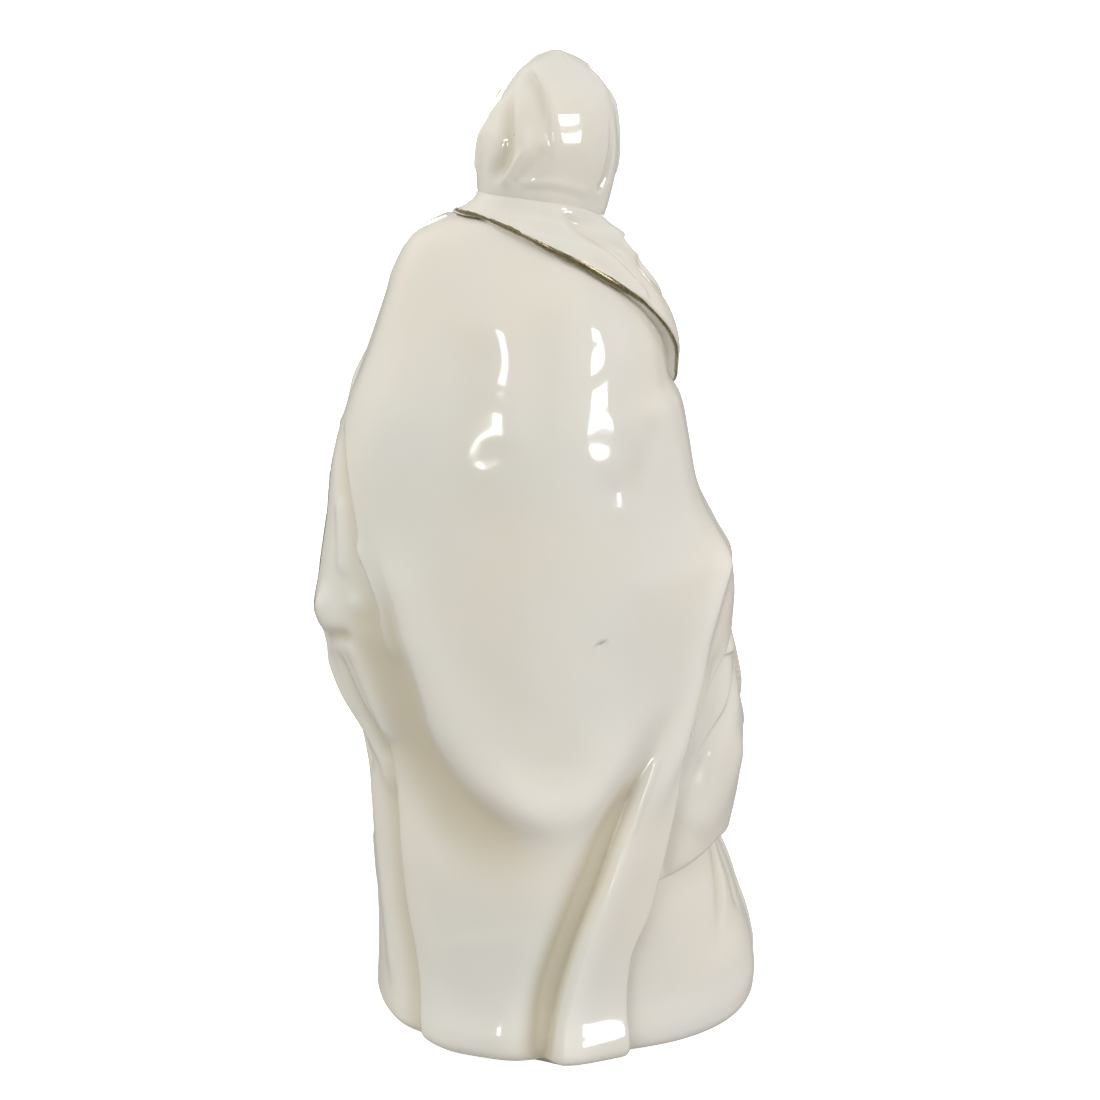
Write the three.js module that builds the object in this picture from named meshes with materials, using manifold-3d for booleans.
// A glazed porcelain Madonna, 250 mm tall: a hollow cast gown closed by a foot plate, with the mantle,
// the front drapery, the shoulder shawl, the veil, the head, the sleeves and the hands luted on as separate
// castings, and four gilded edge lines.
//
// Millimetres, +Z up. The figure faces -Y, its left hand is on +X, and it stands on z = 0.
// A direction round the body is an angle in degrees: 0 is the figure's left, 90 its back, 180 its right and
// 270 (or -90) its front. A "station" is [height or angle, value].
import * as THREE from "three";
import { mergeVertices } from "three/addons/utils/BufferGeometryUtils.js";
import Module from "manifold-3d";

const wasm = await Module();
wasm.setup();

// Driving dimensions
const HEIGHT = 250; // foot to the top of the veil
const AXIS_X = -2; // x of the upright axis that the garments wrap round
const WALL = 3.8; // slip-cast wall of the gown
const LUTE = 0.5; // gap between two castings, filled with slip when they are joined
const FOOT_PLATE = 4; // thickness of the plate that closes the foot
const DRAIN_R = 4.5; // drain hole in the foot plate
const SHAWL = 2.8; // thickness of the shawl
const GILT_W = 1.5; // width of a gilded line
const GILT_T = 0.35; // thickness of its strip
const HEAD_YAW = 30; // the head turns this far to its left
const HEAD_TILT = 9; // and bows this far
const HEAD_CENTRE = [-2.4, -1.5, 229.5];

// Outlines of the gown: where it reaches on each side at each height
const GOWN = {
  left: [[0, 37.5], [6, 38.5], [45, 38], [70, 36], [95, 31], [120, 25.5], [150, 20], [165, 22.5], [182, 26.5],
    [190, 27], [198, 22], [204, 13]],
  right: [[0, -57.2], [6, -58.6], [14, -57.6], [26, -53.8], [41, -48.6], [52, -45], [70, -42], [95, -37],
    [120, -31], [150, -24.5], [165, -26], [182, -28.5], [190, -27], [198, -21], [204, -13]],
  front: [[0, -44.2], [5, -45.6], [30, -42], [60, -38], [90, -34], [120, -29.5], [150, -22], [165, -24.5],
    [177, -27], [190, -22.5], [198, -16.5], [204, -10]],
  back: [[0, 41.9], [3, 42.9], [9, 41.4], [20, 39.4], [40, 38.2], [80, 34.5], [120, 32.5], [160, 29.5],
    [185, 23.5], [195, 19.5], [204, 12]],
};
// Outlines of the mantle's outer face
const MANTLE = {
  left: [[0, 41.8], [3, 43.6], [15, 43.2], [45, 44], [65, 44.9], [76, 46.5], [88, 51.8], [100, 55.4],
    [109, 58.05], [118, 56.8], [133, 54.4], [150, 51.9], [165, 47.4], [180, 41.8], [195, 36.8], [200, 34.6],
    [203, 33], [205.2, 31.4], [207, 29.3], [209, 25.6], [211, 20.8]],
  right: [[0, -52], [60, -50], [95, -50.5], [104, -50.6], [112, -51], [122, -49.9], [130, -45.8],
    [140, -41.3], [155, -38.2], [164, -36.3], [170, -33.2], [180, -31.6], [190, -28], [200, -22], [211, -15]],
  front: [[0, -46], [5, -47], [60, -42], [100, -37], [130, -33], [155, -28.5], [177, -31], [190, -26.5],
    [200, -20], [211, -15]],
  back: [[0, 46.4], [3, 47.3], [9, 45.5], [20, 43.2], [40, 42.2], [80, 38.5], [120, 36.7], [160, 33.5],
    [185, 27.5], [195, 23.5], [203, 19.5], [211, 15]],
};
// Where the mantle's two edges run, as angles: the left one to the front, the right one across the back
const MANTLE_LEFT_EDGE = [[0, -26], [15, -21], [30, -12], [45, -3], [60, 0], [75, -3], [88, -16], [98, -10],
  [104, -1], [112, 4], [130, 5], [146, 2], [157, -10], [168, -28], [180, -48], [192, -60], [208, -66]];
const MANTLE_RIGHT_EDGE = [[0, 116.5], [13, 117.6], [26, 119.7], [37, 126.4], [48, 131.5], [62, 137.6],
  [77, 143.4], [88, 150.3], [100, 161], [106, 172], [113, 186], [125, 205], [140, 220], [160, 231],
  [180, 240], [208, 250]];
// The mantle's top rim, hidden by the shawl: [angle, height]
const MANTLE_TOP = [[-70, 198], [-50, 200], [-30, 205], [0, 210.6], [45, 210.2], [90, 208.5], [135, 204.5],
  [180, 200.5], [230, 196], [255, 194.5]];
// The drapery swept across the front, from behind the right hip to the left hand
const DRAPE = {
  left: [[40, 46], [76, 47], [100, 53.5], [110, 53], [150, 50]],
  right: [[40, -48.5], [50, -51], [61, -53.1], [73, -54.1], [84, -53.1], [95, -51], [104, -48.8],
    [115, -46.5], [130, -42], [155, -34.5]],
  front: [[40, -43.5], [60, -45.5], [75, -44.5], [100, -40.5], [120, -35.5], [155, -27]],
  back: [[40, 41], [80, 36.4], [120, 34.5], [155, 31]],
};
const DRAPE_FROM = 131;
const DRAPE_LOW = [[125, 43], [138, 44.8], [150, 46.8], [158, 48.2], [166, 47.2], [180, 43.5], [210, 44],
  [240, 50], [270, 61], [300, 75], [330, 91], [352, 99]];
const DRAPE_HIGH = [[125, 62], [140, 74], [150, 88], [160, 98], [172, 104], [185, 110], [205, 124],
  [230, 139], [250, 139], [270, 132], [300, 120], [330, 112], [352, 109]];
// The gilded edge of the drapery's upper layer: [angle, height]
const DRAPE_HEM = [[164, 98], [172, 97], [178, 92], [185, 84], [200, 71], [225, 61], [250, 65], [270, 74],
  [300, 88], [330, 100], [348, 105]];
// The shawl: lower and upper edge round the shoulders
const SHAWL_LOW = [[0, 210.8], [30, 210.9], [54, 209.3], [76, 207], [98, 203.6], [115, 200.4], [131, 196.2],
  [142, 192.6], [152, 188.4], [160, 184.4], [168, 180.2], [180, 174], [195, 167], [210, 162], [228, 160],
  [250, 168], [270, 180], [290, 188.5], [312, 197], [330, 203.2], [346, 208.2], [360, 210.8]];
const SHAWL_HIGH = [[0, 216.5], [49, 216.5], [90, 215.5], [122, 214], [150, 211.5], [180, 209.5],
  [210, 205.5], [240, 201.5], [270, 199.5], [300, 202], [330, 209], [360, 216.5]];
// Outlines of the veil, from its foot inside the shawl to the crown
const VEIL = {
  left: [[209, 14], [213, 14.6], [220, 15], [226, 14.8], [230, 14.2], [235, 11.5], [240, 8.5], [245, 5],
    [248.6, 0.5], [250, -3]],
  right: [[209, -16.5], [213, -17.6], [220, -19.2], [226, -19.8], [234, -19.2], [240, -17.9],
    [245, -14.6], [248.6, -9.5], [250, -6]],
  front: [[209, -10], [216, -14.5], [226, -17], [236, -16], [243, -12], [248, -5.5], [250, -1.5]],
  back: [[209, 12.5], [213, 13.4], [220, 15.2], [228, 16.2], [236, 15], [243, 11], [248, 5], [250, 1.2]],
};
// How the veil's own axis leans, by height
const VEIL_X = [[217, -2], [235, -3.5], [250, -4.5]];
// Arms: centre line, radius along it, and how far the cuff hangs below the wrist
const RIGHT_ARM = {
  line: [[-31, -16, 150], [-24, -27, 149.5], [-15, -32.5, 154], [-8.5, -34, 160.5]],
  radii: [8, 7.6, 7, 7.2],
  hang: 6,
};
const LEFT_ARM = {
  line: [[27, -9, 181], [38, -12, 168], [45, -10, 148], [49, -9.5, 130], [50.5, -10.5, 116]],
  radii: [7, 8.4, 8.2, 7, 7.8],
  hang: 5,
};
// A hand, from wrist to fingertips along +X, thumb towards +Y, palm towards -Z
const HAND = {
  palm: [6.5, 0, 0],
  palmSize: [7.6, 5.1, 2.5],
  knuckles: 10.6,
  spacing: 2.55,
  finger: 1.42,
  thumb: 1.6,
};

const rad = THREE.MathUtils.degToRad;
const lerp = THREE.MathUtils.lerp;
const smooth = (t) => THREE.MathUtils.smoothstep(t, 0, 1);
const V = (x, y, z) => new THREE.Vector3(x, y, z);
const range = (n) => [...Array(n).keys()];

// A smooth curve through stations that never overshoots them (monotone cubic)
function through(stations) {
  const n = stations.length;
  const rise = (i) => stations[i + 1][1] - stations[i][1];
  const run = (i) => stations[i + 1][0] - stations[i][0];
  const slope = range(n - 1).map((i) => rise(i) / run(i));
  const tangent = range(n).map((i) => {
    if (i === 0) return slope[0];
    if (i === n - 1) return slope[n - 2];
    const [a, b] = [slope[i - 1], slope[i]];
    return a * b <= 0 ? 0 : (2 * a * b) / (a + b);
  });
  return (x) => {
    const at = THREE.MathUtils.clamp(x, stations[0][0], stations[n - 1][0]);
    let i = 0;
    while (i < n - 2 && at > stations[i + 1][0]) i++;
    const width = run(i);
    const t = (at - stations[i][0]) / width;
    const [t2, t3] = [t * t, t * t * t];
    return (2 * t3 - 3 * t2 + 1) * stations[i][1] + (t3 - 2 * t2 + t) * width * tangent[i]
      + (3 * t2 - 2 * t3) * stations[i + 1][1] + (t3 - t2) * width * tangent[i + 1];
  };
}

// The radius, from the axis, of a garment whose section is a rounded oval through its four outlines
function ovalOf(outlines, power = 2.25, axisAt = () => AXIS_X) {
  const [left, right, front, back] = ["left", "right", "front", "back"].map((k) => through(outlines[k]));
  return (angle, z) => {
    const [c, s] = [Math.cos(rad(angle)), Math.sin(rad(angle))];
    const a = c > 0 ? left(z) - axisAt(z) : axisAt(z) - right(z);
    const b = s > 0 ? back(z) : -front(z);
    return 1 / ((Math.abs(c) / a) ** power + (Math.abs(s) / b) ** power) ** (1 / power);
  };
}
const place = (angle, r, z, axis = AXIS_X) => V(axis + r * Math.cos(rad(angle)), r * Math.sin(rad(angle)), z);

// Folds add to a radius: a row of soft pleats between two angles, as deep as its depth at the given height
const pleats = (count, from, to, depthAt) => (angle, z) => {
  const t = (((angle % 360) + 360) % 360 - from) / (to - from);
  if (t <= 0 || t >= 1) return 0;
  return depthAt(z) * Math.sin(Math.PI * t) ** 0.5 * Math.cos(2 * Math.PI * count * t);
};
// One fold along a line of stations [height, angle], as wide in degrees as its width
const crease = (line, width, depth) => {
  const angleAt = through(line);
  const [low, high] = [line[0][0], line[line.length - 1][0]];
  return (angle, z) => {
    if (z < low || z > high) return 0;
    const t = (z - low) / (high - low);
    return depth * Math.sin(Math.PI * t) ** 0.4 * Math.exp(-(((angle - angleAt(z)) / width) ** 2));
  };
};

const gownOval = ovalOf(GOWN);
const skirtPleats = pleats(6, 205, 335, (z) => 1.4 * (1 - smooth(z / 90)));
const gownRadius = (angle, z) => gownOval(angle, z) + skirtPleats(angle, z);

const leftEdge = through(MANTLE_LEFT_EDGE);
const rightEdge = through(MANTLE_RIGHT_EDGE);
const mantleOval = ovalOf(MANTLE);
const mantleFolds = [
  crease([[0, 98], [25, 99], [39, 103], [53, 110], [66, 118], [83, 128], [95, 136]], 4.5, -3.4),
  crease([[0, 107], [53, 124], [75, 134], [94, 144], [111, 154]], 6, 1.2),
  crease([[45, 88], [56, 76], [65, 61], [78, 50], [94, 43], [104, 40], [122, 33], [146, 22]], 8, -1.8),
];
const mantleRadius = (angle, z) => mantleFolds
  .reduce((sum, fold) => sum + fold(angle, z), mantleOval(angle, z));
const mantleInner = (angle, z) => gownRadius(angle, z) + 1.5 * LUTE;
const mantleOuter = (angle, z) => Math.max(mantleRadius(angle, z), mantleInner(angle, z) + 1.2);

// The drapery is thin where the mantle covers it, and stands full once it is past the mantle's edge
const drapeOval = ovalOf(DRAPE);
const drapeHem = through(DRAPE_HEM);
const drapeTop = through(DRAPE_HIGH);
const drapeInner = (angle, z) => gownRadius(angle, z) + 1.2 * LUTE;
const drapeOuter = (angle, z) => {
  const past = smooth((angle - rightEdge(z) - 1) / 9) * smooth((360 + leftEdge(z) - angle - 1) / 9);
  const layer = z > drapeHem(angle) ? 1.1 * smooth((z - drapeHem(angle)) / 2) : 0;
  const thinning = lerp(1, smooth((drapeTop(angle) - z) / 14), smooth((angle - 200) / 25));
  const full = drapeOval(angle, z) + layer;
  const thin = drapeInner(angle, z) + 1.2;
  return Math.max(lerp(thin, full, past * (0.15 + 0.85 * thinning)), thin);
};

// Turns rings of points, each as long as the others, into a closed solid whose two ends are fans
function stack(rings) {
  const n = rings[0].length;
  const centre = (ring) => ring.reduce((sum, p) => sum.add(p), V(0, 0, 0)).divideScalar(n);
  const points = [...rings.flat(), centre(rings[0]), centre(rings[rings.length - 1])];
  const [first, last] = [points.length - 2, points.length - 1];
  const faces = [];
  for (const j of range(n)) {
    const k = (j + 1) % n;
    faces.push([first, k, j]);
    faces.push([last, (rings.length - 1) * n + j, (rings.length - 1) * n + k]);
    for (const i of range(rings.length - 1)) {
      const [a, b, c, d] = [i * n + j, i * n + k, (i + 1) * n + k, (i + 1) * n + j];
      faces.push([a, b, c], [a, c, d]);
    }
  }
  return solid(points, faces);
}

// A slab between an outer and an inner grid of points. A wrapped slab closes on itself along its rows.
function slab(outer, inner, wrapped = false) {
  const [m, n] = [outer.length, outer[0].length];
  const points = [...outer.flat(), ...inner.flat()];
  const back = m * n;
  const faces = [];
  const quad = (a, b, c, d) => faces.push([a, b, c], [a, c, d]);
  for (const j of range(wrapped ? n : n - 1)) {
    const k = (j + 1) % n;
    for (const i of range(m - 1)) {
      quad(i * n + j, i * n + k, (i + 1) * n + k, (i + 1) * n + j);
      quad(back + i * n + k, back + i * n + j, back + (i + 1) * n + j, back + (i + 1) * n + k);
    }
    const top = (m - 1) * n;
    quad(back + j, back + k, k, j);
    quad(top + j, top + k, back + top + k, back + top + j);
  }
  if (!wrapped) {
    for (const i of range(m - 1)) {
      const [a, b] = [i * n, (i + 1) * n];
      quad(back + a, a, b, back + b);
      quad(a + n - 1, back + a + n - 1, back + b + n - 1, b + n - 1);
    }
  }
  return solid(points, faces);
}

// manifold-3d solids, and back to three.js geometry
function solid(points, faces) {
  const geometry = new THREE.BufferGeometry()
    .setAttribute("position", new THREE.Float32BufferAttribute(points.flatMap((p) => [p.x, p.y, p.z]), 3));
  geometry.setIndex(faces.flat());
  return solidOf(geometry);
}
function solidOf(geometry) {
  const bare = geometry.clone();
  bare.deleteAttribute("normal");
  bare.deleteAttribute("uv");
  const merged = mergeVertices(bare, 1e-4);
  return new wasm.Manifold(new wasm.Mesh({
    numProp: 3,
    vertProperties: new Float32Array(merged.attributes.position.array),
    triVerts: new Uint32Array(merged.index.array),
  }));
}
function geometryOf(shape) {
  const mesh = shape.getMesh();
  const positions = [];
  for (const i of range(mesh.numVert)) {
    const start = i * mesh.numProp;
    positions.push(...mesh.vertProperties.subarray(start, start + 3));
  }
  return new THREE.BufferGeometry()
    .setAttribute("position", new THREE.Float32BufferAttribute(positions, 3))
    .setIndex([...mesh.triVerts]);
}

// After a cut: the largest body, without needless slivers
const largest = (shape) => shape.decompose().sort((a, b) => b.volume() - a.volume())[0].simplify(0.02);

// A closed ring of points round the body at one height, and a stack of them
const ringAt = (radius, z, count, axis) => range(count)
  .map((i) => place((360 * i) / count, radius((360 * i) / count, z), z, axis));
const barrel = (radius, low, high, rows, count) => stack(range(rows + 1)
  .map((i) => ringAt(radius, lerp(low, high, i / rows), count)));

// --- gown and foot plate -------------------------------------------------------------------------------
const GOWN_TOP = 204;
const CAVITY_TOP = 186;
const cavityRadius = (angle, z) => gownOval(angle, Math.max(z, 6)) - WALL - 1.6 * (1 - smooth(z / 110));
function gown() {
  const outside = barrel(gownRadius, 0, GOWN_TOP, 24, 44);
  const inside = barrel(cavityRadius, -1, CAVITY_TOP, 11, 24);
  return outside.subtract(inside);
}
function footPlate() {
  const plate = barrel((angle) => cavityRadius(angle, 0) - 2 * LUTE, 0, FOOT_PLATE, 1, 24);
  const drain = new THREE.CylinderGeometry(DRAIN_R, DRAIN_R, 4 * FOOT_PLATE, 20).rotateX(Math.PI / 2);
  return plate.subtract(solidOf(drain.translate(AXIS_X, 0, 0)));
}

// --- mantle --------------------------------------------------------------------------------------------
const MANTLE_HIGH = 208; // where both edges end
const mantleTop = through(MANTLE_TOP);
function mantle(grow = 0) {
  const [rows, columns] = [30, 24];
  const grid = (radius, add) => range(rows + 1).map((i) => {
    const z = lerp(-grow, MANTLE_HIGH + grow, i / rows);
    return range(columns + 1).map((j) => {
      const angle = lerp(leftEdge(z) - grow, rightEdge(z) + grow, j / columns);
      const height = (z * mantleTop(angle)) / MANTLE_HIGH;
      return place(angle, radius(angle, height) + add, height);
    });
  });
  return slab(grid(mantleOuter, grow), grid(mantleInner, -grow));
}

// --- bands: garments between a lower and an upper edge ---------------------------------------------------
function band({ from, to, low, high, rows, columns, outer, inner, wrapped }) {
  const [lowAt, highAt] = [through(low), through(high)];
  const grid = (radius) => range(rows + 1).map((i) => range(wrapped ? columns : columns + 1).map((j) => {
    const angle = lerp(from, to, j / columns);
    const z = lerp(lowAt(angle), highAt(angle), i / rows);
    return place(angle, radius(angle, z, i / rows), z);
  }));
  return slab(grid(outer), grid(inner), wrapped);
}
const raised = (stations, by) => stations.map(([at, value]) => [at, value + by]);
function drape(grow = 0) {
  return band({
    from: DRAPE_FROM - grow, to: 350 + grow, rows: 8, columns: 30,
    low: raised(DRAPE_LOW, -grow), high: raised(DRAPE_HIGH, grow),
    outer: (angle, z) => drapeOuter(angle, z) + grow,
    inner: (angle, z) => drapeInner(angle, z) - grow,
  });
}
// The shawl lies on the mantle, and above it round the veil
const veilX = through(VEIL_X);
const veilOval = ovalOf(VEIL, 2.1, veilX);
const shawlBed = (angle, z) => {
  const above = smooth((z - mantleTop(angle > 290 ? angle - 360 : angle) + 1) / 6);
  const under = lerp(mantleRadius(angle, z), veilOval(angle, z), above) + 0.5 * above * (1 - above);
  return Math.max(under, gownRadius(angle, z) + LUTE) + LUTE;
};
const shawlSection = (t) => SHAWL * (0.45 + 0.55 * Math.sin(Math.PI * t) ** 0.6);
const shawlRadius = (angle, z, t) => shawlBed(angle, z) + shawlSection(t);
const shawl = () => band({
  from: 0, to: 360, low: SHAWL_LOW, high: SHAWL_HIGH, rows: 5, columns: 40, wrapped: true,
  outer: shawlRadius,
  inner: shawlBed,
});

// --- gilded lines: thin strips that lie along an edge -----------------------------------------------------
const LIFT = 0.45;
const giltShawlBed = (angle, z) => LIFT
  + Math.max(shawlRadius(angle, z - 1, 0.3), shawlRadius(angle, z, 0.3));
const giltShawl = () => band({
  from: 0, to: 360, low: raised(SHAWL_LOW, 0.7), high: raised(SHAWL_LOW, 0.7 + GILT_W),
  rows: 1, columns: 40, wrapped: true,
  outer: (angle, z) => giltShawlBed(angle, z) + GILT_T,
  inner: giltShawlBed,
});
const giltDrape = () => band({
  from: 175, to: 326, low: raised(DRAPE_HEM, 0.6), high: raised(DRAPE_HEM, 0.6 + GILT_W),
  rows: 1, columns: 30,
  outer: (angle, z) => drapeOuter(angle, z + 1) + LIFT + GILT_T,
  inner: (angle, z) => drapeOuter(angle, z + 1) + LIFT,
});
// Beside one of the mantle's edges, a strip between two heights; inward is +1 where angles grow from the edge
function giltMantle(edge, inward, low, high) {
  const rows = Math.round((high - low) / 4);
  const grid = (add) => range(rows + 1).map((i) => {
    const z = lerp(low, high, i / rows);
    const slant = rad(edge(z + 1) - edge(z - 1)) * mantleOuter(edge(z), z) / 2;
    const perMm = inward * THREE.MathUtils.radToDeg(1 / mantleOuter(edge(z), z)) * Math.hypot(1, slant);
    const sides = [edge(z) + 0.9 * perMm, edge(z) + (0.9 + GILT_W) * perMm];
    if (inward < 0) sides.reverse();
    return sides.map((angle) => place(angle, Math.max(...sides.map((a) => mantleOuter(a, z))) + add, z));
  });
  return slab(grid(LIFT + GILT_T), grid(LIFT));
}

// --- head and veil -------------------------------------------------------------------------------------
// The head's own frame: +X its left, -Y its face, +Z its crown, origin between the ears
const headFrame = new THREE.Matrix4()
  .makeTranslation(...HEAD_CENTRE)
  .multiply(new THREE.Matrix4().makeRotationZ(rad(HEAD_YAW)))
  .multiply(new THREE.Matrix4().makeRotationX(rad(HEAD_TILT)));
const bump = (x, z, cx, cz, w, h) => Math.exp(-(((x - cx) / w) ** 2) - ((z - cz) / h) ** 2);
const SKULL_WIDTH = through([[-16, 2.4], [-14.8, 5], [-12, 7.6], [-8, 9.4], [-2, 10.8], [5, 11.2], [11, 9.6],
  [15, 6], [17, 1.5]]);
const SKULL_FRONT = through([[-16, 5], [-14.8, 9.4], [-12, 11], [-8, 11.4], [-2, 12], [5, 12.4], [11, 10.4],
  [15, 6], [17, 1.5]]);
const SKULL_BACK = through([[-16, 0.5], [-14.8, 2], [-12, 5], [-8, 8.5], [-2, 11.4], [5, 12.2], [11, 10.4],
  [15, 6.4], [17, 1.5]]);
function skull(grow = 0) {
  const count = 28;
  const ring = (z) => range(count).map((i) => {
    const angle = (360 * i) / count;
    const [c, s] = [Math.cos(rad(angle)), Math.sin(rad(angle))];
    const x = (SKULL_WIDTH(z) + grow) * c;
    if (s > 0) return V(x, (SKULL_BACK(z) + grow) * s, z);
    const features = 2.6 * bump(x, z, 0, -4.4, 1.5, 1.9) + 1.5 * bump(x, z, 0, -1.2, 1.2, 3)
      + 0.9 * bump(x, z, 0, -9.4, 2.6, 1.3) + bump(x, z, 0, -13.2, 3, 1.8)
      - 1.1 * (bump(x, z, 4, 0, 2.2, 1.5) + bump(x, z, -4, 0, 2.2, 1.5));
    return V(x, (SKULL_FRONT(z) + features + grow) * s, z);
  });
  return stack(range(15).map((i) => ring(lerp(-16 - grow, 17 + grow, i / 14)))).transform(headFrame.elements);
}
const neck = () => tube([[AXIS_X, 0, 205], [-1.8, -0.5, 212], [-1.6, -0.5, 222]], [7.4, 6.2, 6.4], 18);
const head = () => skull().add(neck());

// The veil is a hood with a wall all round the head, cut open towards the face
const VEIL_ROWS = 13;
const VEIL_FOOT = 209;
function veil() {
  const heights = range(VEIL_ROWS + 1)
    .map((i) => lerp(VEIL_FOOT, HEIGHT, Math.sin((Math.PI / 2) * (i / VEIL_ROWS))));
  const outside = stack(heights.map((z) => ringAt(veilOval, z, 28, veilX(z))));
  const window = new THREE.SphereGeometry(1, 20, 12).scale(11.4, 24, 18).translate(0, -19, -2.6);
  window.applyMatrix4(headFrame);
  const throat = new THREE.CylinderGeometry(8.6, 10.5, 24, 20).rotateX(Math.PI / 2);
  throat.translate(-1.6, -1, 209);
  return largest(outside.subtract(skull(LUTE)).subtract(solidOf(window)).subtract(solidOf(throat)));
}

// --- arms and hands --------------------------------------------------------------------------------------
// A tube of round sections along points, as thick as its radii
function tube(points, radii, sides, steps = 4 * (points.length - 1), hang = 0) {
  const path = new THREE.CatmullRomCurve3(points.map((p) => V(...p)));
  const radiusAt = through(radii.map((r, i) => [i / (radii.length - 1), r]));
  const reference = Math.abs(path.getTangent(0).y) < 0.9 ? V(0, 1, 0) : V(1, 0, 0);
  return stack(range(steps + 1).map((i) => {
    const t = i / steps;
    const side = reference.clone().cross(path.getTangent(t)).normalize();
    const up = path.getTangent(t).cross(side);
    return range(sides).map((j) => {
      const a = (2 * Math.PI * j) / sides;
      const r = radiusAt(t);
      const offset = side.clone().multiplyScalar(r * Math.cos(a)).addScaledVector(up, r * Math.sin(a));
      const drop = hang * t ** 3 * Math.max(0, -offset.z / r);
      return path.getPoint(t).add(offset).add(V(0, 0, -drop));
    });
  }));
}
const arm = ({ line, radii, hang }) => tube(line, radii, 16, 3 * (line.length - 1), hang);
const grownGown = (low) => barrel((angle, z) => gownRadius(angle, z) + LUTE, low, 200, 14, 44);
// The mouth of a sleeve is hollowed out round the wrist
const mouth = ({ line: centre, radii }, depth) => {
  const [end, before] = [V(...centre.at(-1)), V(...centre.at(-2))];
  const along = end.clone().sub(before).normalize();
  const from = end.clone().addScaledVector(along, -depth);
  const to = end.clone().addScaledVector(along, 6);
  const line = [from.toArray(), end.toArray(), to.toArray()];
  return tube(line, [0.5, 0.78, 0.95].map((share) => share * radii.at(-1)), 16, 4);
};
const sleeve = (limb) => largest(
  arm(limb).subtract(mouth(limb, 6)).subtract(mantle(LUTE)).subtract(grownGown(120)),
);

// A frame whose +X points along the fingers and whose +Z is the back of the hand
function handFrame(wrist, along, back) {
  const x = V(...along).normalize();
  const z = V(...back).addScaledVector(x, -V(...back).dot(x)).normalize();
  return new THREE.Matrix4().makeBasis(x, z.clone().cross(x), z).setPosition(...wrist);
}
// Fingers lie straight, or curl towards the palm by a share from 0 to 1
function hand(frame, curl, mirrored) {
  const side = mirrored ? -1 : 1;
  const palm = new THREE.SphereGeometry(1, 12, 8).scale(...HAND.palmSize).translate(...HAND.palm);
  let made = solidOf(palm);
  const lengths = [10.4, 12.2, 11.4, 9];
  lengths.forEach((length, i) => {
    const y = side * HAND.spacing * (1.5 - i);
    const turn = 2.6 * curl;
    const ahead = (t) => (curl ? Math.sin(t * turn) / turn : t);
    const down = (t) => (curl ? (1 - Math.cos(t * turn)) / turn : 0.04 * t);
    const joint = (t) => [HAND.knuckles - 2 + length * ahead(t), y * (1 + 0.12 * t), -length * down(t)];
    const line = [0, 0.35, 0.7, 1].map((t) => joint(1.15 * t));
    made = made.add(tube(line, [1, 1, 0.95, 0.6].map((share) => share * HAND.finger), 6, 5));
  });
  const thumb = [[3, side * 3.4, -0.4], [7, side * 6.2, -0.9], [11.4, side * 7.2, -1.4]];
  made = made.add(tube(thumb, [HAND.thumb * 1.15, HAND.thumb, HAND.thumb * 0.65], 6, 4));
  return made.transform(frame.elements);
}
const rightHandFrame = handFrame([-9, -33.6, 160], [0.74, 0.12, 0.66], [-0.05, -1, 0.12]);
const rightHand = () => largest(hand(rightHandFrame, 0, false).subtract(grownGown(140)));
// What a casting must be cut by to stay clear of another: the other, moved a gap's width each way
const WAYS = [[0, 0, 1], [0, 0, -1], [1, 0, 0], [-1, 0, 0], [0, 1, 0], [0, -1, 0]];
const clearOf = (shape, other) => WAYS
  .reduce((cut, way) => cut.subtract(other.translate(way.map((v) => v * LUTE))), shape);
const leftHandFrame = handFrame([50.8, -10.8, 115], [0.06, -0.12, -1], [0.95, -0.3, 0]);
const leftHand = () => largest(clearOf(hand(leftHandFrame, 0.62, true), drape()).subtract(mantle(LUTE)));

// --- the assembled statue ----------------------------------------------------------------------------------
const glaze = () => new THREE.MeshStandardMaterial({ color: 0xe4e2d8, roughness: 0.12, metalness: 0 });
const gold = () => new THREE.MeshStandardMaterial({ color: 0x8d7c4c, roughness: 0.3, metalness: 1 });
const castings = {
  gown: gown(),
  foot_plate: footPlate(),
  mantle: mantle(),
  front_drape: largest(drape().subtract(mantle(LUTE))),
  shawl: largest(shawl().subtract(mantle(1.5 * LUTE))),
  veil: largest(veil().subtract(mantle(LUTE))),
  head: head(),
  right_sleeve: sleeve(RIGHT_ARM),
  left_sleeve: sleeve(LEFT_ARM),
  right_hand: rightHand(),
  left_hand: leftHand(),
};
const gilding = {
  gilt_shawl: giltShawl(),
  gilt_drape: giltDrape(),
  gilt_mantle_left: giltMantle(leftEdge, 1, 2, 150),
  gilt_mantle_right: giltMantle(rightEdge, -1, 116, 140),
};
const statue = new THREE.Group();
for (const [set, finish] of [[castings, glaze], [gilding, gold]]) {
  for (const [name, shape] of Object.entries(set)) {
    const mesh = new THREE.Mesh(geometryOf(shape), finish());
    mesh.name = name;
    statue.add(mesh);
  }
}
export default statue;
